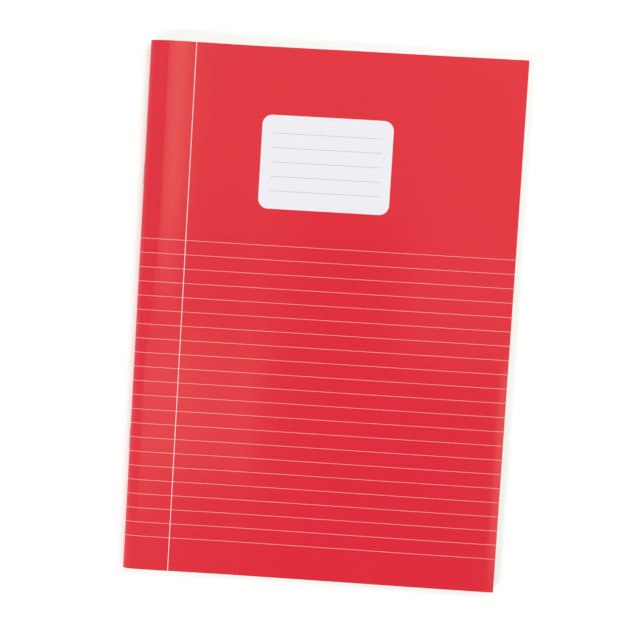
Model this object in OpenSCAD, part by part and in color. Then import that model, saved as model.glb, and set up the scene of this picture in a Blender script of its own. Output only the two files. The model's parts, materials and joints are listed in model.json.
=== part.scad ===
// Soft-cover A4 composition notebook: folded sheets in a folded card cover, stitched through the fold with wire.
// X runs from the fold to the fore-edge, Y from the tail to the head, and Z up. It lies closed on its back cover.
// The origin is the middle of its footprint, on the table. Lengths are in millimetres.

/* [Cover card] */
// Width of the closed book, from the fold to the fore-edge
cover_w = 210; // [180:1:230]
// Height of the closed book, from the tail to the head
cover_h = 297; // [280:1:330]
// Thickness of the laminated card
card_t = 0.3; // [0.2:0.05:0.4]
// Distance of both hinge creases from the outermost line of the fold
hinge_x = 2.5; // [2:0.1:3.5]
// Width of the crease that parts each cover from the fold strip
crease_w = 0.2; // [0.1:0.05:0.3]

/* [Folded sheets] */
// Number of folded sheets, each of which makes two leaves
sheet_count = 20; // [12:1:24]
// Thickness of one sheet of paper
sheet_t = 0.1; // [0.08:0.01:0.12]
// Air between the outer leaves and the cover
cover_gap = 0.1; // [0.05:0.05:0.2]
// Width of the line that shows between two leaves at the cut edges
leaf_gap = 0.03; // [0.02:0.01:0.04]
// Depth of that line
leaf_gap_depth = 0.4; // [0.2:0.1:1]
// Number of sheets between two such lines
sheets_per_line = 4; // [4:1:6]

/* [Fold] */
// Rise of the front cover near the fold, where the sheets spring open
swell = 1.5; // [0.8:0.1:2.5]
// Distance from the fold at which the bend round the sheets runs out into a straight shoulder
bend_x = 3; // [2.8:0.1:4]
// Distance from the fold to the pressed crease at the top of the swell, where the shoulder ends
crest_x = 8.5; // [6:0.5:12]
// Rise of the shoulder
shoulder_rise = 0.75; // [0.3:0.05:0.9]
// Distance from the fold at which the front cover lies flat again
swell_end = 50; // [35:1:60]
// Distance from the fold at which the back cover meets the table
toe_x = 6; // [5:0.5:8]
// Width of the channel inside the fold of the middle sheet
channel_w = 5; // [4:0.5:7]
// Greatest height of that channel
channel_h = 0.9; // [0.8:0.05:1.2]

/* [Stitching wire] */
// Diameter of the wire
wire_d = 0.5; // [0.4:0.05:0.6]
// Length of a crown, between the middle lines of its two legs
crown_l = 12; // [10:0.5:14]
// Length of each clinched end, from the middle line of its leg to its cut tip
clinch_l = 4.5; // [3:0.25:4.75]
// Bend radius of the wire's middle line
wire_bend = 0.4; // [0.35:0.05:0.5]
// Distance of the middle of a crown from the head or the tail
stitch_inset = 74; // [50:1:90]
// Clearance all round a leg in its hole
leg_clear = 0.1; // [0.1:0.05:0.15]
// Gap between a crown and the print on the fold
crown_gap = 0.02; // [0.02:0.01:0.05]

/* [Print] */
// Thickness of the printed fields
ink_t = 0.03; // [0.02:0.01:0.05]
// Width of the name panel
panel_w = 73; // [60:1:90]
// Height of the name panel
panel_h = 52; // [44:1:60]
// Corner radius of the name panel
panel_r = 5.5; // [2:0.5:10]
// Distance from the fold to the name panel
panel_x = 65; // [61:1:80]
// Distance from the head down to the name panel
panel_y = 37.5; // [20:0.5:45]
// Number of writing lines in the name panel
panel_lines = 5; // [3:1:5]
// Distance from the top of the name panel to its first line
panel_line_y = 10; // [6:0.5:12]
// Distance of the ends of those lines from the sides of the panel
panel_line_inset = 5.75; // [3:0.25:10]
// Least distance from the name panel down to the top ruled line
rules_clear = 20; // [5:1:40]
// Pitch of all ruled lines
rule_pitch = 8; // [6:0.5:8]
// Width of the ruled lines
rule_w = 0.2; // [0.15:0.05:0.4]
// Height of the lowest ruled line above the tail
rule_foot = 19; // [10:0.5:25]
// Distance from the fold to the margin line
margin_x = 26; // [20:0.5:32]
// Width of the margin line
margin_w = 0.35; // [0.2:0.05:0.8]

/* [Hidden] */

RED = "#E03040";
PAPER = "#F4F3EE";
WIRE = "#B9BCC0";
WHITE = "#F0F0F4";
HAIRLINE = "#F3B9BC";
GREY = "#C9C9CE";

// Heights, from the table up, and depths, from the outside of the cover inwards
block_depth = card_t + cover_gap;
centre_depth = block_depth + sheet_count * sheet_t;
flat_z = 2 * centre_depth;
crest_z = flat_z + swell;
fold_z = crest_z / 2;
shoulder_slope = shoulder_rise / (crest_x - bend_x);
bend_rise = crest_z - fold_z - shoulder_slope * crest_x;
origin_x = (cover_w - wire_d - crown_gap - ink_t) / 2;

// Steps along the curved stretches of the section
FOLD_STEPS = 12;
SWELL_STEPS = 14;
// Every second step is enough for the fine lines between the leaves
LEAF_STRIDE = 2;
// A cut reaches this far past what it cuts
PAST = 1;

// A place on the section is a station. On the front, 0 is the fold, 1 the end of the bend, 2 the pressed crease,
// 3 where the cover lies flat and 4 the fore-edge. On the back, 0 is the fold, 1 the toe and 2 the fore-edge.
// The bend in the front is a quarter ellipse raised on the slope of the shoulder, and the swell falls as a cosine.
function front_station(x) =
    x < bend_x ? acos(1 - x / bend_x) / 90
    : x < crest_x ? 1 + (x - bend_x) / (crest_x - bend_x)
    : x < swell_end ? 2 + (x - crest_x) / (swell_end - crest_x)
    : 3 + (x - swell_end) / (cover_w - swell_end);
function back_station(x) = x < toe_x ? acos(1 - x / toe_x) / 90 : 1 + (x - toe_x) / (cover_w - toe_x);

function front_x(t) =
    t < 1 ? bend_x * (1 - cos(90 * t))
    : t < 2 ? bend_x + (t - 1) * (crest_x - bend_x)
    : t < 3 ? crest_x + (t - 2) * (swell_end - crest_x)
    : swell_end + (t - 3) * (cover_w - swell_end);
function front_at(t) = [
    front_x(t),
    t < 2 ? fold_z + bend_rise * sin(90 * min(t, 1)) + shoulder_slope * front_x(t)
    : t < 3 ? flat_z + swell * (1 + cos(180 * (t - 2))) / 2
    : flat_z
];
function front_tangent(t) =
    t < 1 ? PI / 2 * [bend_x * sin(90 * t), bend_rise * cos(90 * t) + shoulder_slope * bend_x * sin(90 * t)]
    : t < 2 ? (crest_x - bend_x) * [1, shoulder_slope]
    : t < 3 ? [swell_end - crest_x, -swell * sin(180 * (t - 2)) * PI / 2]
    : [cover_w - swell_end, 0];
function back_at(t) =
    t < 1 ? [toe_x * (1 - cos(90 * t)), fold_z * (1 - sin(90 * t))] : [toe_x + (t - 1) * (cover_w - toe_x), 0];
function back_tangent(t) = t < 1 ? PI / 2 * [toe_x * sin(90 * t), -fold_z * cos(90 * t)] : [cover_w - toe_x, 0];

// The same places, moved inwards by a depth, square to the skin
function front_skin(t, depth) =
    front_at(t) + depth * [front_tangent(t).y, -front_tangent(t).x] / norm(front_tangent(t));
function back_skin(t, depth) =
    back_at(t) + depth * [-back_tangent(t).y, back_tangent(t).x] / norm(back_tangent(t));

// Stations where the two creases and the edges of the margin line lie
margin_from = front_station(margin_x - margin_w / 2);
margin_to = front_station(margin_x + margin_w / 2);
front_crease = crease_stations(front_station(hinge_x), front_tangent(front_station(hinge_x)));
back_crease = crease_stations(back_station(hinge_x), back_tangent(back_station(hinge_x)));
function crease_stations(t, tangent) =
    let (half = crease_w / 2 / norm(tangent)) [t - half, t + half];

function steps(from, count, stride = 1) = [for (i = [0 : stride : count]) from + i / count];
front_stations = let (all = concat(steps(0, FOLD_STEPS), steps(2, SWELL_STEPS), [4])) concat(
    [for (t = all) if (t < margin_from) t], [margin_from, margin_to], [for (t = all) if (t > margin_to) t]
);
back_stations = concat(steps(0, FOLD_STEPS), [2]);

function between(stations, from, to) = concat([from], [for (t = stations) if (t > from && t < to) t], [to]);
function reversed(list) = [for (i = [len(list) - 1 : -1 : 0]) list[i]];

// Stations of a strip that runs round the fold, from the back crease to the front one
strip_back = reversed(between(back_stations, 0, back_crease[0]));
strip_front = between(front_stations, 0, front_crease[0]);
function strip_line(depth) = concat(
    [for (t = strip_back) back_skin(t, depth)], [for (i = [1 : len(strip_front) - 1]) front_skin(strip_front[i], depth)]
);

// Middle surface of the sheets, and the drop-shaped channel in the fold of the middle one
function middle_z(x) = (front_at(front_station(min(x, swell_end))).y + back_z(x)) / 2;
function back_z(x) = x < toe_x ? back_at(back_station(x)).y : 0;
function channel_half(x) =
    let (k = (x - centre_depth) / channel_w)
    k <= 0 || k >= 1 ? 0 : channel_h / 2 * sqrt(k) * (1 - k) / (sqrt(1 / 3) * 2 / 3);

// A line between two sheets: a share of the way from the outside of the block to the middle of the sheets.
// It stops short of the notches in the fore-edge.
function leaf_x(x) = x < crest_x
    ? centre_depth + (x - block_depth) * (crest_x - centre_depth) / (crest_x - block_depth)
    : x;
function leaf_point(outer, side, share) =
    let (x = leaf_x(outer.x)) outer + share * ([x, middle_z(x) + side * channel_half(x)] - outer);
function leaf_line(share) = concat(
    reversed([for (t = leaf_back) leaf_point(back_skin(t, block_depth), -1, share)]),
    [for (i = [1 : len(leaf_front) - 1]) leaf_point(front_skin(leaf_front[i], block_depth), 1, share)]
);
leaf_end_x = cover_w - 2 * leaf_gap_depth;
line_sheets = [sheets_per_line : sheets_per_line : sheet_count - 1];
notch_zs = concat(
    [for (i = line_sheets) block_depth + i * sheet_t],
    [centre_depth],
    reversed([for (i = line_sheets) flat_z - block_depth - i * sheet_t])
);
leaf_front = concat(
    steps(0, FOLD_STEPS, LEAF_STRIDE), steps(2, SWELL_STEPS, LEAF_STRIDE), [front_station(leaf_end_x)]
);
leaf_back = concat(steps(0, FOLD_STEPS, LEAF_STRIDE), [back_station(leaf_end_x)]);

// The clinched ends lie in the channel, and the legs run straight out to the fold from there
clinch_x = centre_depth + channel_w / 5;
stitch_z = middle_z(clinch_x);
stitch_ys = [cover_h / 2 - stitch_inset, stitch_inset - cover_h / 2];
rule_room = cover_h - panel_y - panel_h - rules_clear - rule_foot;
rule_ys = [for (rise = [0 : rule_pitch : rule_room]) rule_foot + rise - cover_h / 2];

// A section drawn in X and Z, drawn out along Y about the middle height
module along_y(length) {
    rotate([90, 0, 0]) linear_extrude(length, center = true, convexity = 8) children();
}

// The part stands about its own origin
module placed(shade) {
    color(shade) translate([-origin_x, 0, 0]) children();
}

// The fore-edge, from the bottom leaf to the top one, with a notch where each line between leaves comes out
function fore_edge() = [
    for (z = notch_zs) each [
        [cover_w, z - leaf_gap / 2], [cover_w - leaf_gap_depth, z - leaf_gap / 2],
        [cover_w - leaf_gap_depth, z + leaf_gap / 2], [cover_w, z + leaf_gap / 2]
    ]
];

// Section of the block, closed round the fold, with its channel and the notches of the fore-edge
module block_section() {
    difference() {
        polygon(concat(
            [for (t = back_stations) back_skin(t, block_depth)],
            fore_edge(),
            reversed([for (i = [1 : len(front_stations) - 1]) front_skin(front_stations[i], block_depth)])
        ));
        channel_section();
    }
}

module channel_section() {
    xs = [for (i = [0 : FOLD_STEPS]) centre_depth + channel_w * pow(i / FOLD_STEPS, 2)];
    polygon(concat(
        [for (x = xs) [x, middle_z(x) - channel_half(x)]],
        [for (i = [FOLD_STEPS - 1 : -1 : 1]) [xs[i], middle_z(xs[i]) + channel_half(xs[i])]]
    ));
}

// One thin line between two sheets, round the fold and out to both fore-edges
module leaf_gap_section(share) {
    half = leaf_gap / 2 / (sheet_count * sheet_t);
    polygon(concat(leaf_line(share - half), reversed(leaf_line(share + half))));
}

module leg_holes() {
    for (y = stitch_ys, side = [-1, 1])
        translate([-PAST, y + side * crown_l / 2, stitch_z])
            rotate([0, 90, 0]) cylinder(d = wire_d + 2 * leg_clear, h = clinch_x + PAST, $fn = 32);
}

module page_block() {
    placed(PAPER) difference() {
        along_y(cover_h) block_section();
        for (i = line_sheets, end = [-1, 1])
            translate([0, end * cover_h / 2, 0]) along_y(2 * leaf_gap_depth) leaf_gap_section(i / sheet_count);
        leg_holes();
    }
}

module cover_spine() {
    placed(RED) difference() {
        along_y(cover_h) polygon(concat(strip_line(0), reversed(strip_line(card_t))));
        leg_holes();
    }
}

// Stretch of the front skin between two stations and two depths
module front_section(from, to, outside, inside) {
    ts = between(front_stations, from, to);
    polygon(concat([for (t = ts) front_skin(t, outside)], reversed([for (t = ts) front_skin(t, inside)])));
}

module front_cover() {
    placed(RED) along_y(cover_h) front_section(front_crease[1], 4, 0, card_t);
}

module back_cover() {
    ts = between(back_stations, back_crease[1], 2);
    placed(RED) along_y(cover_h)
        polygon(concat([for (t = ts) back_skin(t, 0)], reversed([for (t = ts) back_skin(t, card_t)])));
}

// Wire staple: crown outside the fold, legs through it, ends clinched towards each other in the channel
module staple() {
    crown_x = -ink_t - crown_gap - wire_d / 2;
    leg_y = crown_l / 2;
    for (side = [0, 1]) mirror([0, side, 0]) {
        translate([crown_x, 0, 0]) rotate([-90, 0, 0]) cylinder(d = wire_d, h = leg_y - wire_bend, $fn = 32);
        translate([crown_x + wire_bend, leg_y - wire_bend, 0]) wire_corner(90);
        translate([crown_x + wire_bend, leg_y, 0])
            rotate([0, 90, 0]) cylinder(d = wire_d, h = clinch_x - crown_x - 2 * wire_bend, $fn = 32);
        translate([clinch_x - wire_bend, leg_y - wire_bend, 0]) wire_corner(0);
        translate([clinch_x, leg_y - clinch_l, 0])
            rotate([-90, 0, 0]) cylinder(d = wire_d, h = clinch_l - wire_bend, $fn = 32);
    }
}

module wire_corner(turn) {
    rotate([0, 0, turn]) rotate_extrude(angle = 90, $fn = 32) translate([wire_bend, 0]) circle(d = wire_d, $fn = 32);
}

module head_staple() {
    placed(WIRE) translate([0, stitch_ys[0], stitch_z]) staple();
}

module tail_staple() {
    placed(WIRE) translate([0, stitch_ys[1], stitch_z]) staple();
}

module spine_rules() {
    placed(HAIRLINE) for (y = rule_ys)
        translate([0, y, 0]) along_y(rule_w) polygon(concat(strip_line(-ink_t), reversed(strip_line(0))));
}

module cover_rules() {
    placed(HAIRLINE) for (y = rule_ys) translate([0, y, 0]) along_y(rule_w) {
        front_section(front_crease[1], margin_from, -ink_t, 0);
        front_section(margin_to, 4, -ink_t, 0);
    }
}

module margin_line() {
    placed(WHITE) along_y(cover_h) front_section(margin_from, margin_to, -ink_t, 0);
}

module name_panel() {
    placed(WHITE) translate([panel_x, cover_h / 2 - panel_y - panel_h, flat_z]) linear_extrude(ink_t) {
        translate([panel_r, 0]) square([panel_w - 2 * panel_r, panel_h]);
        translate([0, panel_r]) square([panel_w, panel_h - 2 * panel_r]);
        for (x = [panel_r, panel_w - panel_r], y = [panel_r, panel_h - panel_r])
            translate([x, y]) circle(r = panel_r, $fn = 64);
    }
}

module name_panel_lines() {
    placed(GREY) for (i = [0 : panel_lines - 1])
        translate([
            panel_x + panel_line_inset,
            cover_h / 2 - panel_y - panel_line_y - i * rule_pitch - rule_w / 2,
            flat_z + ink_t
        ])
            cube([panel_w - 2 * panel_line_inset, rule_w, ink_t]);
}

page_block();
cover_spine();
front_cover();
back_cover();
head_staple();
tail_staple();
spine_rules();
cover_rules();
margin_line();
name_panel();
name_panel_lines();
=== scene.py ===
import json
import math

import bpy
import numpy as np
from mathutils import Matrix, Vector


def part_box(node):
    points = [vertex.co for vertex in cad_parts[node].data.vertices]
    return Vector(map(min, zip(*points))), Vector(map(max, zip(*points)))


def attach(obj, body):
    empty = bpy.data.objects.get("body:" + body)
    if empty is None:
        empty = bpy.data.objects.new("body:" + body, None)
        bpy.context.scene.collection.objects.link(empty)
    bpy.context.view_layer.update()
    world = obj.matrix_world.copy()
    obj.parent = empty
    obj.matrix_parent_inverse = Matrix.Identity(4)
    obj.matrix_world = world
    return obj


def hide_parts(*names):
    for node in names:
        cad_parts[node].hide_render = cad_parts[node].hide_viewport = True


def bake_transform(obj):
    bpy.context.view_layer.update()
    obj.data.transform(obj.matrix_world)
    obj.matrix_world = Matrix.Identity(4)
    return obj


# Looks of a soft-cover A4 notebook: film-laminated red card, knocked-out print, nested sheets of writing
# paper and two wire staples. X runs from the fold to the fore-edge, Y from the tail to the head, and Z up.
# Up to the moment a mesh is made, lengths are in millimetres and x counts from the fold. Stations count as
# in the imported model: on the front 0 is the fold, 1 the end of the bend, 2 the pressed crease, 3 where the
# cover lies flat and 4 the fore-edge, and on the back 0 is the fold, 1 the toe and 2 the fore-edge.

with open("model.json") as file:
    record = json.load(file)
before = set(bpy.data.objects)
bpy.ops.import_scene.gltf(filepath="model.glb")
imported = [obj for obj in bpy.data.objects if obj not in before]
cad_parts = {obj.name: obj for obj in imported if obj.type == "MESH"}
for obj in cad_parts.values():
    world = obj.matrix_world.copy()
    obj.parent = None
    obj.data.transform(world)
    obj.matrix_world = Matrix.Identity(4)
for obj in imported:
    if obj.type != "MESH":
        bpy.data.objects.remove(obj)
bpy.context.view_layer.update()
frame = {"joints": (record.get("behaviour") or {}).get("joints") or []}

MM = 0.001

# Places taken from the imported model
spine_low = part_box("cover_spine")[0]
front_low, front_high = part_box("front_cover")
panel_low, panel_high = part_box("name_panel")
panel_rule_low, panel_rule_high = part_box("name_panel_lines")
margin_low, margin_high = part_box("margin_line")
rules_low, rules_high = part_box("cover_rules")
staple_low, staple_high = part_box("head_staple")
hinges = {joint["child"]: joint["pos_m"] for joint in frame["joints"]}

FOLD_X = spine_low.x / MM
COVER_W = (front_high.x - spine_low.x) / MM
COVER_H = (front_high.y - front_low.y) / MM
CREST_Z = front_high.z / MM
FOLD_Z = CREST_Z / 2
HINGE_X = hinges["front_board"][0] / MM - FOLD_X
STITCH_Y = (staple_low.y + staple_high.y) / 2 / MM
STITCH_Z = (staple_low.z + staple_high.z) / 2 / MM
CROWN_L = (staple_high.y - staple_low.y) / MM
CROWN_X = staple_low.x / MM - FOLD_X

# Section of the closed book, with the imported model's thicknesses, bends, channel and wire
CARD_T = 0.3
COVER_GAP = 0.1
SHEET_COUNT = 20
SHEET_T = 0.1
BEND_X = 3.0
TOE_X = 6.0
CHANNEL_W = 5.0
CHANNEL_H = 0.9
WIRE_D = 0.5
BLOCK_DEPTH = CARD_T + COVER_GAP
CENTRE_DEPTH = BLOCK_DEPTH + SHEET_COUNT * SHEET_T
FLAT_Z = 2 * CENTRE_DEPTH

# Height of the shoulder at the end of the bend, and distance from the fold at which the swell has run out,
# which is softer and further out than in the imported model
SHOULDER_Z = 5.55
SWELL_END = 65.0
# How far the pressed crease lies from the fold at the head and at the tail, how much lower it is at the
# tail, and where along Y it changes over
CREASE_HEAD = 10.4
CREASE_TAIL = 6.3
CREASE_DROP = 0.25
CREASE_CHANGE_Y = (-40.0, 50.0)
# Distances from the fold between which the waves in the lying cover grow to their full height
WAVES_BETWEEN = (40.0, 110.0)
# Droop of the fore-edge, the width over which it droops, and where along Y it runs out
DROOP = 0.26
DROOP_W = 7.0
DROOP_CHANGE_Y = (-36.0, 7.0)


def smooth(x, low, high):
    """0 below low, 1 above high, and between them three k squared less two k cubed, for k from 0 to 1."""
    k = np.clip((x - low) / (high - low), 0, 1)
    return k * k * (3 - 2 * k)


def crease_at(y):
    """Distance of the pressed crease from the fold: a smooth change from its place at the tail to its place
    at the head."""
    return CREASE_TAIL + (CREASE_HEAD - CREASE_TAIL) * smooth(y, *CREASE_CHANGE_Y)


def sag(x, y):
    """Slow waves in the lying cover: a long and a short sine wave that cross and fade out towards the fold,
    and a droop of the fore-edge, with the square of the distance, that grows towards the tail."""
    long_wave = 0.08 * np.sin(2 * np.pi * (x / 118 + y / 520 + 0.1))
    short_wave = 0.04 * np.sin(2 * np.pi * (x / 63 - y / 210))
    drooping = np.clip((x - COVER_W + DROOP_W) / DROOP_W, 0, None) ** 2 * (1 - smooth(y, *DROOP_CHANGE_Y))
    return smooth(x, *WAVES_BETWEEN) * (long_wave + short_wave) - DROOP * drooping


def crest_at(y):
    """Height of the pressed crease: the crest at the head and CREASE_DROP less at the tail, with the same
    smooth change as its distance from the fold."""
    return CREST_Z - CREASE_DROP * (1 - smooth(y, *CREASE_CHANGE_Y))


def shoulder_slope(y):
    """Slope of the straight shoulder from the end of the bend to the crease: its rise over its run."""
    return (crest_at(y) - SHOULDER_Z) / (crease_at(y) - BEND_X)


def bend_rise(y):
    """Height of the bend at the fold: what its slope leaves of the height of the shoulder."""
    return SHOULDER_Z - FOLD_Z - shoulder_slope(y) * BEND_X


def front_station(x, y):
    """Station of the front at the distance x from the fold, the reverse of front_line: an arc cosine on the
    bend, and beyond it the number of stretches passed plus the share of the next."""
    crest = crease_at(y)
    bend = np.arccos(np.clip(1 - x / BEND_X, -1, 1)) * 2 / np.pi
    return np.where(x < BEND_X, bend,
                    np.where(x < crest, 1 + (x - BEND_X) / (crest - BEND_X),
                             np.where(x < SWELL_END, 2 + (x - crest) / (SWELL_END - crest),
                                      3 + (x - SWELL_END) / (COVER_W - SWELL_END))))


def front_line(t, y):
    """Distance from the fold and height of the front at stations t, before it sags. The bend is a quarter
    ellipse raised on the slope of the shoulder, the shoulder is straight, and the swell falls as half a
    cosine wave."""
    crest = crease_at(y)
    turn = np.pi / 2 * np.clip(t, 0, 1)
    k1, k2, k3 = np.clip(t - 1, 0, 1), np.clip(t - 2, 0, 1), np.clip(t - 3, 0, 1)
    x = (BEND_X * (1 - np.cos(turn)) + k1 * (crest - BEND_X) + k2 * (SWELL_END - crest)
         + k3 * (COVER_W - SWELL_END))
    rising = FOLD_Z + bend_rise(y) * np.sin(turn) + shoulder_slope(y) * x
    falling = FLAT_Z + (crest_at(y) - FLAT_Z) * (1 + np.cos(np.pi * k2)) / 2
    return x, np.where(t < 2, rising, falling)


def front_skin(t, y, depth):
    """Points of the front at stations t and places y, moved inwards by a depth, square to the section. They
    are moved up or down by the sag, of which less is left the deeper they lie, and none at CENTRE_DEPTH."""
    t, y = np.broadcast_arrays(t, y)
    x, z = front_line(t, y)
    turn = np.pi / 2 * np.clip(t, 0, 1)
    k2 = np.clip(t - 2, 0, 1)
    slope = shoulder_slope(y)
    fall = (FLAT_Z - crest_at(y)) * np.sin(np.pi * k2) * np.pi / 2 / (SWELL_END - crease_at(y))
    along_x = np.where(t < 1, BEND_X * np.sin(turn), 1)
    along_z = np.where(t < 1, bend_rise(y) * np.cos(turn) + slope * BEND_X * np.sin(turn),
                       np.where(t < 2, slope, fall))
    length = np.hypot(along_x, along_z)
    lowered = sag(x, y) * (1 - depth / CENTRE_DEPTH)
    return np.stack([x + depth * along_z / length, y, z + lowered - depth * along_x / length], -1)


def back_line(t):
    """The same for the back: a quarter ellipse down to the toe, then flat on the table."""
    turn = np.pi / 2 * np.clip(t, 0, 1)
    x = TOE_X * (1 - np.cos(turn)) + np.clip(t - 1, 0, 1) * (COVER_W - TOE_X)
    return x, FOLD_Z * (1 - np.sin(turn))


def back_skin(t, y, depth):
    """Points of the back at stations t and places y, moved inwards by a depth, square to the section."""
    t, y = np.broadcast_arrays(t, y)
    x, z = back_line(t)
    turn = np.pi / 2 * np.clip(t, 0, 1)
    along_x = np.where(t < 1, TOE_X * np.sin(turn), 1)
    along_z = np.where(t < 1, -FOLD_Z * np.cos(turn), 0)
    length = np.hypot(along_x, along_z)
    return np.stack([x - depth * along_z / length, y, z + depth * along_x / length], -1)


def back_station(x):
    """Station of the back at the distance x from the fold, the reverse of back_line."""
    bend = np.arccos(np.clip(1 - x / TOE_X, -1, 1)) * 2 / np.pi
    return np.where(x < TOE_X, bend, 1 + (x - TOE_X) / (COVER_W - TOE_X))


def leaf_surface(side, t, y, share):
    """A surface inside the block, that share of the way from the block's outside (0) to the middle of the
    sheets (1). side is 1 for the front leaves and -1 for the back ones. The middle starts CENTRE_DEPTH from
    the fold, and distances from there to the crease are squeezed evenly to suit. It lies halfway between
    front and back, and opens into a drop-shaped channel: with k the share of its width, its half height goes
    as the square root of k, times 1 - k."""
    t, y = np.broadcast_arrays(t, y)
    outer = (front_skin if side > 0 else back_skin)(t, y, BLOCK_DEPTH)
    crest = crease_at(y)
    x = outer[..., 0]
    pushed = CENTRE_DEPTH + (x - BLOCK_DEPTH) * (crest - CENTRE_DEPTH) / (crest - BLOCK_DEPTH)
    x = np.where(x < crest, pushed, x)
    middle = (front_line(front_station(x, y), y)[1] + back_line(back_station(x))[1]) / 2
    k = np.clip((x - CENTRE_DEPTH) / CHANNEL_W, 0, 1)
    # The greatest value of the square root of k, times 1 - k
    greatest = np.sqrt(1 / 3) * 2 / 3
    half = CHANNEL_H / 2 * np.sqrt(k) * (1 - k) / greatest
    return outer + share * (np.stack([x, y, middle + side * half], -1) - outer)


# Stations of the rows across the cover, closer together at the bend, the hinge crease and the fore-edge
BEND_ROWS = np.concatenate([np.linspace(0, 0.8, 29), np.linspace(0.8, 1, 21)[1:]])
SHOULDER_ROWS = np.linspace(1, 2, 25)[1:]
SWELL_ROWS = 2 + np.linspace(0, 1, 37)[1:] ** 1.3
FLAT_ROWS = 3 + np.concatenate([np.linspace(0, 0.95, 39)[1:], np.linspace(0.95, 1, 13)[1:]])
FRONT_ROWS = np.concatenate([BEND_ROWS, SHOULDER_ROWS, SWELL_ROWS, FLAT_ROWS])
BACK_ROWS = np.concatenate([np.linspace(0, 0.54, 21), np.linspace(0.54, 0.66, 13)[1:],
                            np.linspace(0.66, 1, 13)[1:], 1 + np.linspace(0, 1, 41)[1:]])


def linear(hex_colour):
    """An sRGB hex colour as linear red, green, blue and alpha."""
    srgb = np.array([int(hex_colour[i:i + 2], 16) for i in (1, 3, 5)]) / 255
    return (*np.where(srgb <= 0.04045, srgb / 12.92, ((srgb + 0.055) / 1.055) ** 2.4), 1)


def add(material, kind, links=(), **settings):
    """Adds a node, sets its properties and its inputs in use by name, and links (socket, input) pairs into
    it."""
    node = material.node_tree.nodes.new("ShaderNode" + kind)
    for name, value in settings.items():
        sockets = [socket for socket in node.inputs
                   if socket.enabled and socket.name.lower() == name.replace("_", " ")]
        if sockets:
            sockets[0].default_value = value
        else:
            setattr(node, name, value)
    for source, target in links:
        material.node_tree.links.new(source, node.inputs[target])
    return node


def blank(name):
    """A new material with an output node alone, and that node."""
    material = bpy.data.materials.new(name)
    material.use_nodes = True
    material.node_tree.nodes.clear()
    return material, material.node_tree.nodes.new("ShaderNodeOutputMaterial")


def finish_surface(material, output, shader):
    material.node_tree.links.new(shader.outputs[0], output.inputs["Surface"])
    return material


def filmed_print(name, colour, mottle):
    """Offset print under a clear gloss film of about 25 micrometres: the colour is flat but for a faint
    mottle 45 mm across, and the film gives a clear, slightly rippled reflection over it. Ripples are 6 mm
    across, and orange peel 1.2 mm."""
    material, output = blank(name)
    place = add(material, "TexCoord").outputs["Object"]
    cloud = add(material, "TexNoise", [(place, "Vector")], scale=1 / 0.045, detail=3.0)
    tone = add(material, "Mix", [(cloud.outputs["Fac"], "Factor")], data_type="RGBA",
               a=linear(colour), b=linear(mottle)).outputs[2]
    ripple = add(material, "TexNoise", [(place, "Vector")], scale=1 / 0.006, detail=1.0)
    peel = add(material, "TexNoise", [(place, "Vector")], scale=1 / 0.0012, detail=2.0)
    low = add(material, "Bump", [(ripple.outputs["Fac"], "Height")], strength=0.5, distance=0.00001)
    high = add(material, "Bump", [(peel.outputs["Fac"], "Height"), (low.outputs["Normal"], "Normal")],
               strength=0.5, distance=0.000002)
    shader = add(material, "BsdfPrincipled",
                 [(tone, "Base Color"), (high.outputs["Normal"], "Coat Normal"),
                  (low.outputs["Normal"], "Normal")],
                 roughness=0.5, specular_ior_level=0.1, coat_weight=1.0, coat_roughness=0.16, coat_ior=1.5)
    return finish_surface(material, output, shader)


def uncoated_paper(name, colour, shade, fibre_mm, roughness, depth):
    """Bare paper or board: pressed wood fibres, matt, with a faint cloudy formation 4 mm across and a fine
    felt-side tooth. The tooth is drawn fibre_mm across, coarser than fibres are, so that it shows."""
    material, output = blank(name)
    place = add(material, "TexCoord").outputs["Object"]
    cloud = add(material, "TexNoise", [(place, "Vector")], scale=1 / 0.004, detail=4.0)
    fibre = add(material, "TexNoise", [(place, "Vector")], scale=1 / (fibre_mm * MM), detail=3.0)
    tone = add(material, "Mix", [(cloud.outputs["Fac"], "Factor")], data_type="RGBA",
               a=linear(colour), b=linear(shade)).outputs[2]
    bump = add(material, "Bump", [(fibre.outputs["Fac"], "Height")], strength=0.6, distance=depth * MM)
    shader = add(material, "BsdfPrincipled",
                 [(tone, "Base Color"), (bump.outputs["Normal"], "Normal")],
                 roughness=roughness, specular_ior_level=0.3)
    return finish_surface(material, output, shader)


def leaf_paper(name):
    """Writing paper of 80 g/m2, with the tone of each sheet a little different so that the cut edges read
    as leaves. Its tooth is drawn 0.6 mm across, coarser than fibres are, so that it shows."""
    material, output = blank(name)
    place = add(material, "TexCoord").outputs["Object"]
    own = add(material, "Attribute", attribute_name="sheet_tone")
    tone = add(material, "Mix", [(own.outputs["Fac"], "Factor")], data_type="RGBA",
               a=linear("#F8F7F3"), b=linear("#E9E7E0")).outputs[2]
    fibre = add(material, "TexNoise", [(place, "Vector")], scale=1 / 0.0006, detail=3.0)
    bump = add(material, "Bump", [(fibre.outputs["Fac"], "Height")], strength=0.5, distance=0.00001)
    shader = add(material, "BsdfPrincipled",
                 [(tone, "Base Color"), (bump.outputs["Normal"], "Normal")],
                 roughness=0.85, specular_ior_level=0.25)
    return finish_surface(material, output, shader)


def page_ink(name, colour):
    """Thin water-based ruling ink, soaked into the paper: matt, and paler in places about 1.5 mm apart along
    the line."""
    material, output = blank(name)
    place = add(material, "TexCoord").outputs["Object"]
    uneven = add(material, "TexNoise", [(place, "Vector")], scale=1 / 0.0015, detail=2.0)
    tone = add(material, "Mix", [(uneven.outputs["Fac"], "Factor")], data_type="RGBA",
               a=linear(colour), b=linear("#E9EBEE")).outputs[2]
    shader = add(material, "BsdfPrincipled", [(tone, "Base Color")],
                 roughness=0.8, specular_ior_level=0.2)
    return finish_surface(material, output, shader)


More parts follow.
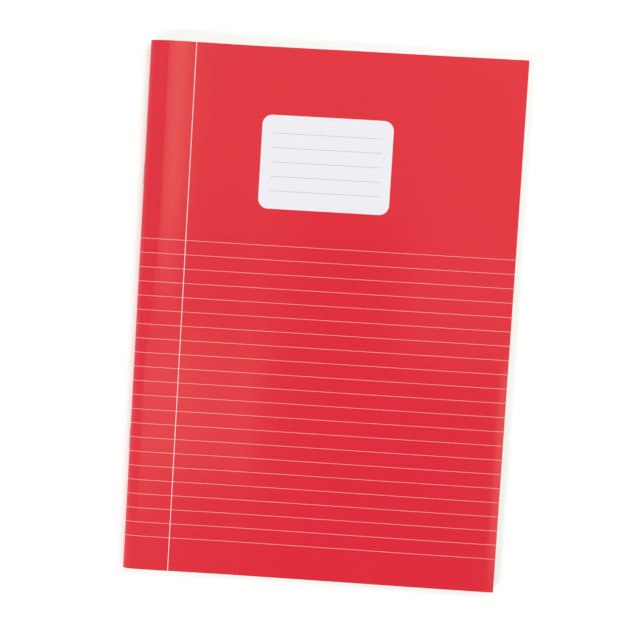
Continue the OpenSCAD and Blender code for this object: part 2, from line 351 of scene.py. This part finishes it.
def drawn_wire(name):
    """Galvanised stitching wire, drawn through a die: dull zinc grey with streaks along its length, 4 mm
    long. They are drawn 0.12 mm wide, coarser than die marks are, so that they show."""
    material, output = blank(name)
    place = add(material, "Attribute", attribute_name="wire_place").outputs["Vector"]
    stretched = add(material, "Mapping", [(place, "Vector")])
    stretched.inputs["Scale"].default_value = (1 / 0.004, 1 / 0.00012, 1 / 0.00012)
    streak = add(material, "TexNoise", [(stretched.outputs["Vector"], "Vector")], scale=1.0, detail=3.0)
    tone = add(material, "Mix", [(streak.outputs["Fac"], "Factor")], data_type="RGBA",
               a=linear("#C9CCD0"), b=linear("#8F9398")).outputs[2]
    rough = add(material, "MapRange", [(streak.outputs["Fac"], "Value")], to_min=0.24, to_max=0.42)
    bump = add(material, "Bump", [(streak.outputs["Fac"], "Height")], strength=0.4, distance=0.000006)
    shader = add(material, "BsdfPrincipled",
                 [(tone, "Base Color"), (rough.outputs["Result"], "Roughness"),
                  (bump.outputs["Normal"], "Normal")],
                 metallic=1.0)
    return finish_surface(material, output, shader)


# Red process print under film. The film gives the soft bands of light near the fold.
red_film = filmed_print("laminated_red_print", "#E2283B", "#DF2538")
# White of the card where the red is left out, under the same film: the name panel and the margin line.
white_film = filmed_print("laminated_white_field", "#EFEFF6", "#ECECF4")
# The ruled lines are so thin that the red on both sides creeps into them: they come out pale pink.
hairline_film = filmed_print("laminated_hairline", "#FFC4C6", "#FCBCBE")
# Pale grey screen print of the writing lines in the panel.
grey_film = filmed_print("laminated_grey_line", "#B4AFB2", "#ADA8AB")
# The inside and the cut edges of the cover are bare board.
bare_board = uncoated_paper("uncoated_board", "#F3F2EE", "#E9E7E1", 0.5, 0.8, 0.02)
leaf = leaf_paper("writing_paper")
blue_ink = page_ink("feint_ruling_ink", "#AFC0D8")
pink_ink = page_ink("margin_ruling_ink", "#E7A3AC")
zinc_wire = drawn_wire("galvanised_wire")


def shell(outer, inner):
    """A closed sheet between two grids of points: the outer one faces out, the inner one faces the other
    way, and walls join their rims. Gives the points, the quads and a mark for each quad: 0 outer, 1 inner,
    2 wall."""
    rows, columns = outer.shape[:2]
    number = np.arange(rows * columns).reshape(rows, columns)
    first = number[:-1, :-1].ravel()
    faces = np.stack([first, first + columns, first + columns + 1, first + 1], -1)
    rim = np.concatenate([number[:-1, 0], number[-1, :-1], number[:0:-1, -1], number[0, :0:-1]])
    after = np.roll(rim, -1)
    walls = np.stack([rim, rim + number.size, after + number.size, after], -1)
    marks = np.repeat([0, 1, 2], [len(faces), len(faces), len(walls)])
    points = np.concatenate([outer.reshape(-1, 3), inner.reshape(-1, 3)])
    return points, np.concatenate([faces, faces[:, ::-1] + number.size, walls]), marks


def joined(parts):
    """Several closed sheets as one set of points, quads and marks."""
    starts = np.cumsum([0] + [len(points) for points, _, _ in parts[:-1]])
    return (np.concatenate([points for points, _, _ in parts]),
            np.concatenate([faces + start for (_, faces, _), start in zip(parts, starts)]),
            np.concatenate([marks for _, _, marks in parts]))


def make(name, shape, materials, stands_for=(), sharp=35):
    """A piece from points, faces and marks, which pick the material. Edges sharper than the given angle in
    degrees stay sharp."""
    points, faces, marks = shape
    mesh = bpy.data.meshes.new(name)
    mesh.from_pydata(((points + [FOLD_X, 0, 0]) * MM).tolist(), [], [list(face) for face in faces])
    for material in materials:
        mesh.materials.append(material)
    mesh.polygons.foreach_set("material_index", np.minimum(marks, len(materials) - 1).astype(np.int32))
    mesh.polygons.foreach_set("use_smooth", np.ones(len(faces), bool))
    mesh.set_sharp_from_angle(angle=math.radians(sharp))
    piece = bpy.data.objects.new(name, mesh)
    bpy.context.scene.collection.objects.link(piece)
    if stands_for:
        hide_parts(*stands_for)
    return piece


def bend_at_hinge(piece):
    """Bakes the piece's transform into its mesh, so that it stands where it was made. It gets no bend at the
    hinge crease and follows no body."""
    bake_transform(piece)


# Cover: one sheet of card from fore-edge to fore-edge. Its front half and its back half meet at the middle
# of the fold.
card_ys = np.linspace(-COVER_H / 2, COVER_H / 2, 91)
front_card = make(
    "front_card",
    shell(front_skin(FRONT_ROWS[:, None], card_ys, 0), front_skin(FRONT_ROWS[:, None], card_ys, CARD_T)),
    [red_film, bare_board], ["front_cover", "cover_spine"])
bend_at_hinge(front_card)
back_card = make(
    "back_card",
    shell(back_skin(BACK_ROWS[::-1, None], card_ys, 0), back_skin(BACK_ROWS[::-1, None], card_ys, CARD_T)),
    [red_film, bare_board], ["back_cover", "cover_spine"])
bend_at_hinge(back_card)

# Print lies on the card as films with this height above the skin. They reach a little into the card. The
# margin line crosses the ruled lines and the writing lines lie on the panel, so these two stand higher.
INK_T = 0.03
MARGIN_T = INK_T * 1.2
WRITING_T = INK_T * 1.6
INK_ROOT = 0.01
RULE_W = 0.2
RULE_PITCH = 8.0
rule_low = rules_low.y / MM + RULE_W / 2
rule_high = rules_high.y / MM - RULE_W / 2
rule_ys = rule_low + RULE_PITCH * np.arange(round((rule_high - rule_low) / RULE_PITCH) + 1)
# Both edges of a line, in line widths from its middle
EDGES = np.array([-0.5, 0.5])


def film(skin, t, y, rise=INK_T):
    """A film on a skin, over a grid of stations t and places y, from its rise above the skin down to
    INK_ROOT below it."""
    return shell(skin(t, y, -rise), skin(t, y, INK_ROOT))


front_rules = make("front_rules", joined([film(front_skin, FRONT_ROWS[:, None], y + EDGES * RULE_W)
                                          for y in rule_ys]),
                   [hairline_film], ["cover_rules", "spine_rules"])
bend_at_hinge(front_rules)
fold_rows = BACK_ROWS[BACK_ROWS <= back_station(HINGE_X)][::-1, None]
fold_rules = make("fold_rules", joined([film(back_skin, fold_rows, y + EDGES * RULE_W) for y in rule_ys]),
                  [hairline_film], ["spine_rules"])
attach(fold_rules, "book_block")

margin_xs = np.array([margin_low.x, margin_high.x])[:, None] / MM - FOLD_X
margin_rule = make("margin_rule", film(front_skin, front_station(margin_xs, card_ys), card_ys, MARGIN_T),
                   [white_film], ["margin_line"])
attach(margin_rule, "front_board")

# Name panel: a field with round corners. Its half width follows the arcs at its head and foot.
PANEL_R = 5.5
panel_x = (panel_low.x + panel_high.x) / 2 / MM - FOLD_X
panel_y = (panel_low.y + panel_high.y) / 2 / MM
panel_w = (panel_high.x - panel_low.x) / MM
panel_h = (panel_high.y - panel_low.y) / MM
arc = np.sin(np.linspace(0, np.pi / 2, 17))
rise = panel_h / 2 - PANEL_R + np.concatenate([[0], PANEL_R * arc[1:]])
rise = np.concatenate([-rise[::-1], np.linspace(-rise[0], rise[0], 11)[1:-1], rise])
into_corner = np.clip(abs(rise) - panel_h / 2 + PANEL_R, 0, PANEL_R)
inset = PANEL_R - np.sqrt(PANEL_R ** 2 - into_corner ** 2)
across = np.linspace(-1, 1, 21)[:, None]
panel_xs = panel_x + across * (panel_w / 2 - inset)
panel_ys = panel_y + rise
panel_field = make("panel_field", film(front_skin, front_station(panel_xs, panel_ys), panel_ys),
                   [white_film], ["name_panel"])
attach(panel_field, "front_board")

line_xs = np.array([panel_rule_low.x, panel_rule_high.x]) / MM - FOLD_X
line_low = panel_rule_low.y / MM + RULE_W / 2
line_high = panel_rule_high.y / MM - RULE_W / 2
line_ys = line_low + RULE_PITCH * np.arange(round((line_high - line_low) / RULE_PITCH) + 1)
line_ts = front_station(np.linspace(*line_xs, 21), 0.0)[:, None]
writing_lines = make("writing_lines", joined([film(front_skin, line_ts, y + EDGES * RULE_W, WRITING_T)
                                              for y in line_ys]),
                     [grey_film], ["name_panel_lines"])
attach(writing_lines, "front_board")

# Sheets of writing paper, folded once and nested. Each lies in its own share of the block's depth, with
# SHEET_AIR of that share left as air beneath it, and is trimmed a hair off true.
SHEET_AIR = 0.07
TRIM = 0.12
TRIM_WAVE = 0.03
sheet_ys = np.linspace(-COVER_H / 2, COVER_H / 2, 25)
sheet_front = np.concatenate([np.linspace(0, 1, 15), [1.5, 2], 2 + np.linspace(0, 1, 11)[1:],
                              3 + np.linspace(0, 0.96, 9)[1:], [3.98, 4]])
sheet_back = np.concatenate([np.linspace(0, 1, 13), 1 + np.linspace(0, 1, 9)[1:]])
chance = np.random.default_rng(12)


def sheet_surface(share, trim_x, trim_y, wave):
    """One face of a folded sheet, from the fore-edge of its back leaf round the fold to that of its front
    leaf. Trim shortens it at the fore-edge, along a faint sine wave, and at the head and the tail."""
    back = leaf_surface(-1, sheet_back[:0:-1, None], sheet_ys, share)
    front = leaf_surface(1, sheet_front[:, None], sheet_ys, share)
    points = np.concatenate([back, front])
    cut = trim_x + TRIM_WAVE * np.sin(wave + sheet_ys / 31)
    points[..., 0] *= 1 - np.clip(cut, 0, None) / COVER_W
    points[..., 1] *= 1 - trim_y / (COVER_H / 2)
    return points


def folded_sheet(number):
    """The sheet with that number, counted from the outside: it fills its share of the depth but for the
    air."""
    trims = chance.uniform(0, TRIM, 2)
    wave = chance.uniform(0, 2 * np.pi)
    outer, inner = number / SHEET_COUNT, (number + 1 - SHEET_AIR) / SHEET_COUNT
    return shell(sheet_surface(outer, *trims, wave), sheet_surface(inner, *trims, wave))


sheets = [folded_sheet(number) for number in range(SHEET_COUNT)]
folded_sheets = make("folded_sheets", joined(sheets), [leaf], ["page_block"], sharp=50)
tones = np.repeat(chance.uniform(0, 1, SHEET_COUNT), [len(points) for points, _, _ in sheets])
sheet_tone = folded_sheets.data.attributes.new("sheet_tone", "FLOAT", "POINT")
sheet_tone.data.foreach_set("value", tones.astype(np.float32))
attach(folded_sheets, "book_block")

# Ruling on the first page and the last one, which show when a cover opens
PAGE_HEAD = 30.0
PAGE_FOOT = 15.0
PAGE_RULE_W = 0.25
PAGE_MARGIN_X = 25.0
PAGE_INK_T = 0.015
page_rule_ys = np.arange(COVER_H / 2 - PAGE_HEAD, PAGE_FOOT - COVER_H / 2, -RULE_PITCH)
PAGE_RULE_ENDS = (4.0, COVER_W - 0.3)
page_xs = np.append(np.linspace(PAGE_RULE_ENDS[0], SWELL_END, 24),
                    np.linspace(SWELL_END, PAGE_RULE_ENDS[1], 22)[1:])
page_front = front_station(page_xs, 0.0)
page_back = back_station(np.linspace(*PAGE_RULE_ENDS, 12))


def page_film(skin, t, y):
    """A line of ink on the outside of the block, from PAGE_INK_T above it down to INK_ROOT below it."""
    return shell(skin(t, y, BLOCK_DEPTH - PAGE_INK_T), skin(t, y, BLOCK_DEPTH + INK_ROOT))


page_rules = make(
    "page_rules",
    joined([page_film(front_skin, page_front[:, None], y + EDGES * PAGE_RULE_W) for y in page_rule_ys]
           + [page_film(back_skin, page_back[::-1, None], y + EDGES * PAGE_RULE_W) for y in page_rule_ys]),
    [blue_ink])
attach(page_rules, "book_block")
page_margin_xs = (PAGE_MARGIN_X + EDGES * PAGE_RULE_W)[:, None]
page_margins = make(
    "page_margins",
    joined([page_film(front_skin, front_station(page_margin_xs, sheet_ys), sheet_ys),
            page_film(back_skin, back_station(page_margin_xs[::-1]) + 0 * sheet_ys, sheet_ys)]),
    [pink_ink])
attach(page_margins, "book_block")

# Staples: round wire, bent square. The crown lies along the fold, the legs go through it, and the ends are
# clinched towards each other with their tips turned back into the paper.
WIRE_BEND = 0.4
CLINCH_L = 4.5
CLINCH_TURN = math.radians(14)
WIRE_SIDES = 20
CHISEL = 0.35
# How far the stitcher presses the crown into the card
PRESSED = 0.25


def wire_line():
    """Middle line of a staple from tip to tip, as points and headings in the plane of the legs. Half of it
    is run by heading and step: crown, corner, leg, corner, clinched end. The other half is its mirror
    image."""
    crown_x = CROWN_X + PRESSED + WIRE_D / 2
    clinch_x = CENTRE_DEPTH + CHANNEL_W / 5
    # Length, turn and number of steps of each run
    runs = [(CROWN_L / 2 - WIRE_D / 2 - WIRE_BEND, 0, 10), (WIRE_BEND * np.pi / 2, -np.pi / 2, 10),
            (clinch_x - crown_x - 2 * WIRE_BEND, 0, 10), (WIRE_BEND * np.pi / 2, -np.pi / 2, 10),
            (CLINCH_L - WIRE_BEND, -CLINCH_TURN, 16)]
    turns = np.concatenate([np.full(count, turn / count) for _, turn, count in runs])
    step = np.concatenate([np.full(count, length / count) for length, _, count in runs])
    heading = np.pi / 2 + np.concatenate([[0], np.cumsum(turns)])
    middle = (heading[1:] + heading[:-1]) / 2
    half = np.array([[crown_x, 0]]) + np.concatenate([
        np.zeros((1, 2)), np.cumsum(np.stack([np.cos(middle), np.sin(middle)], -1) * step[:, None], 0)])
    mirrored = half[:0:-1] * [1, -1]
    return np.concatenate([mirrored, half]), np.concatenate([np.pi - heading[:0:-1], heading])


def bar(line, headings, place_y):
    """A round bar carried along a plane line at the height of the stitching: rings square to the line, each
    end cut to a wedge and closed flat. Gives its shape and, for each point, its place along and across."""
    run = np.concatenate([[0], np.cumsum(np.hypot(*np.diff(line, axis=0).T))])
    wedge = CHISEL + (1 - CHISEL) * np.clip(np.minimum(run, run[-1] - run) / WIRE_D, 0, 1)
    angle = 2 * np.pi * np.arange(WIRE_SIDES) / WIRE_SIDES
    sideways = WIRE_D / 2 * wedge[:, None] * np.cos(angle)
    upwards = WIRE_D / 2 * np.sin(angle) + 0 * sideways
    points = np.stack([line[:, :1] - np.sin(headings)[:, None] * sideways,
                       line[:, 1:] + np.cos(headings)[:, None] * sideways + place_y,
                       STITCH_Z + upwards], -1)
    number = np.arange(points[..., 0].size).reshape(-1, WIRE_SIDES)
    beside = np.roll(number, -1, 1)
    sides = np.stack([number[:-1], beside[:-1], beside[1:], number[1:]], -1).reshape(-1, 4)
    faces = [*sides.tolist(), number[0, ::-1].tolist(), number[-1].tolist()]
    place = np.stack([run[:, None] + 0 * sideways, sideways, upwards], -1)
    return (points.reshape(-1, 3), faces, np.zeros(len(faces), int)), place.reshape(-1, 3)


for name, place_y in (("head", STITCH_Y), ("tail", -STITCH_Y)):
    wire_shape, wire_place = bar(*wire_line(), place_y)
    wire = make(name + "_stitch", wire_shape, [zinc_wire], [name + "_staple"])
    wire.data.attributes.new("wire_place", "FLOAT_VECTOR", "POINT").data.foreach_set(
        "vector", (wire_place * MM).astype(np.float32).ravel())
    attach(wire, "book_block")

scene = bpy.context.scene
scene.view_settings.view_transform = "Standard"

# Studio. The camera looks down on the book from the photograph's place.
CAMERA_PLACE = (10.9, 16.1, 501.5)
CAMERA_TURN = (-1.918, 1.513, 3.488)
CAMERA_LENS = 50
camera = bpy.data.objects.new("camera", bpy.data.cameras.new("camera"))
camera.data.lens = CAMERA_LENS
camera.location = np.array(CAMERA_PLACE) * MM
camera.rotation_euler = np.radians(CAMERA_TURN)
scene.collection.objects.link(camera)
scene.camera = camera


def softbox(name, size, radiance, colour, place, turn=(0, 0, 0), mirrored=True):
    """An area light that faces down until it is turned, with its size along X and Y and its place in
    metres. Its power is the radiance of its face times its area times pi. The film mirrors it unless
    mirrored is False."""
    lamp = bpy.data.objects.new(name, bpy.data.lights.new(name, "AREA"))
    lamp.data.shape = "RECTANGLE"
    lamp.data.size, lamp.data.size_y = size
    lamp.data.energy = radiance * size[0] * size[1] * math.pi
    lamp.data.color = linear(colour)[:3]
    lamp.location = place
    lamp.rotation_euler = np.radians(turn)
    lamp.visible_camera = False
    lamp.visible_glossy = mirrored
    scene.collection.objects.link(lamp)


def overhead(name, low, high, radiance):
    """A softbox flat above the table between two corners, at the height of the lighting rail."""
    softbox(name, (high[0] - low[0], high[1] - low[1]), radiance, LAMPLIGHT,
            ((low[0] + high[0]) / 2, (low[1] + high[1]) / 2, RAIL_Z))


# From above, the film mirrors the panels overhead: a strip along the fold in the band beside the crease, a
# low panel in the patch below it, weak ones in the paler parts round them, and one on the right in the
# drooping fore-edge. They are a little warmer than the key light and the fill light.
RAIL_Z = 1.0
LAMPLIGHT = "#FFFFD7"
DAYLIGHT = "#FAFAFF"
overhead("strip_light", (-0.284, 0.12), (-0.225, 0.70), 2.9)
overhead("strip_end_light", (-0.284, -0.04), (-0.237, 0.12), 2.1)
overhead("patch_light", (-0.356, -0.312), (-0.122, -0.083), 1.08)
overhead("patch_end_light", (-0.356, -0.395), (-0.262, -0.312), 0.66)
overhead("low_side_light", (-0.262, -0.395), (-0.150, -0.312), 0.26)
overhead("low_light", (-0.364, -0.56), (-0.150, -0.395), 0.31)
overhead("middle_light", (-0.237, -0.083), (-0.090, 0.15), 0.28)
overhead("head_light", (-0.225, 0.15), (0.115, 0.70), 0.34)
overhead("right_light", (0.115, -0.10), (0.80, 1.00), 0.41)
overhead("edge_light", (0.360, -0.455), (0.52, -0.10), 1.5)

# The key light and the fill light give the light level. The film mirrors only a weak sheen that stands right
# behind each of them, so that low views keep its colours.
LAMP_SIZE = (0.6, 0.6)
SHEEN_DISTANCE = 1.02
for name, radiance, sheen, place, turn in (("key", 3.98, 1.2, (0.65, 0.8, 0.9), (-36, 36, 0)),
                                           ("fill", 9.05, 0.78, (-0.85, -1.1, 0.85), (43, -44, 0))):
    softbox(name + "_light", LAMP_SIZE, radiance, DAYLIGHT, place, turn, mirrored=False)
    softbox(name + "_sheen", LAMP_SIZE, sheen, DAYLIGHT, np.multiply(place, SHEEN_DISTANCE), turn)

# White sweep: a floor that keeps the shadow of the book and stays white from near to far. Seen directly, in
# a mirror or through glass it also glows, by 0.22 up to 0.35 m from the middle of the book and by 0.6 from
# 1.5 m, where less light falls.
floor_white, output = blank("studio_floor")
place = add(floor_white, "TexCoord").outputs["Object"]
far = add(floor_white, "VectorMath", [(place, 0)], operation="LENGTH")
glow = add(floor_white, "MapRange", [(far.outputs["Value"], "Value")], from_min=0.35, from_max=1.5,
           to_min=0.22, to_max=0.6)
paint = add(floor_white, "BsdfDiffuse", color=linear("#EAEAEA"))
light = add(floor_white, "Emission", [(glow.outputs["Result"], "Strength")])
lit = add(floor_white, "AddShader", [(paint.outputs[0], 0), (light.outputs[0], 1)])
ray = add(floor_white, "LightPath")
seen = add(floor_white, "Math", [(ray.outputs["Is Camera Ray"], 0), (ray.outputs["Is Glossy Ray"], 1)],
           operation="MAXIMUM")
seen = add(floor_white, "Math", [(seen.outputs[0], 0), (ray.outputs["Is Transmission Ray"], 1)],
           operation="MAXIMUM")
shown = add(floor_white, "MixShader", [(seen.outputs[0], 0), (paint.outputs[0], 1), (lit.outputs[0], 2)])
finish_surface(floor_white, output, shown)
FLOOR_HALF = 6.0
FLOOR_Z = -0.2 * MM
floor = bpy.data.objects.new("floor", bpy.data.meshes.new("floor"))
floor.data.from_pydata([(x * FLOOR_HALF, y * FLOOR_HALF, FLOOR_Z)
                        for x, y in ((-1, -1), (1, -1), (1, 1), (-1, 1))], [], [(0, 1, 2, 3)])
floor.data.materials.append(floor_white)
scene.collection.objects.link(floor)

# The room is dim overhead and bright low down. Its strength rises from 0.105 to 0.48 between 22 and 36
# degrees from its axis, and by 0.26 more between 38 and 56 degrees. For the camera it is plain white.
ROOM_AXIS = (0.05, -0.12, 0.99)
room = bpy.data.worlds.new("studio")
room.use_nodes = True
room.node_tree.nodes.clear()
direction = add(room, "TexCoord").outputs["Generated"]
upward = add(room, "VectorMath", [(direction, 0)], operation="DOT_PRODUCT")
upward.inputs[1].default_value = ROOM_AXIS
angle = add(room, "Math", [(upward.outputs["Value"], 0)], operation="ARCCOSINE").outputs[0]
ceiling = add(room, "MapRange", [(angle, "Value")], from_min=math.radians(22), from_max=math.radians(36),
              to_min=0.105, to_max=0.48)
walls = add(room, "MapRange", [(angle, "Value")], from_min=math.radians(38), from_max=math.radians(56),
            to_min=0.0, to_max=0.26)
level = add(room, "Math", [(ceiling.outputs[0], 0), (walls.outputs[0], 1)], operation="ADD")
camera_ray = add(room, "LightPath").outputs["Is Camera Ray"]
level = add(room, "Math", [(level.outputs[0], 0), (camera_ray, 1)], operation="MAXIMUM")
backdrop = add(room, "Background", [(level.outputs[0], "Strength")], color=(1, 1, 1, 1))
finish_surface(room, room.node_tree.nodes.new("ShaderNodeOutputWorld"), backdrop)
scene.world = room
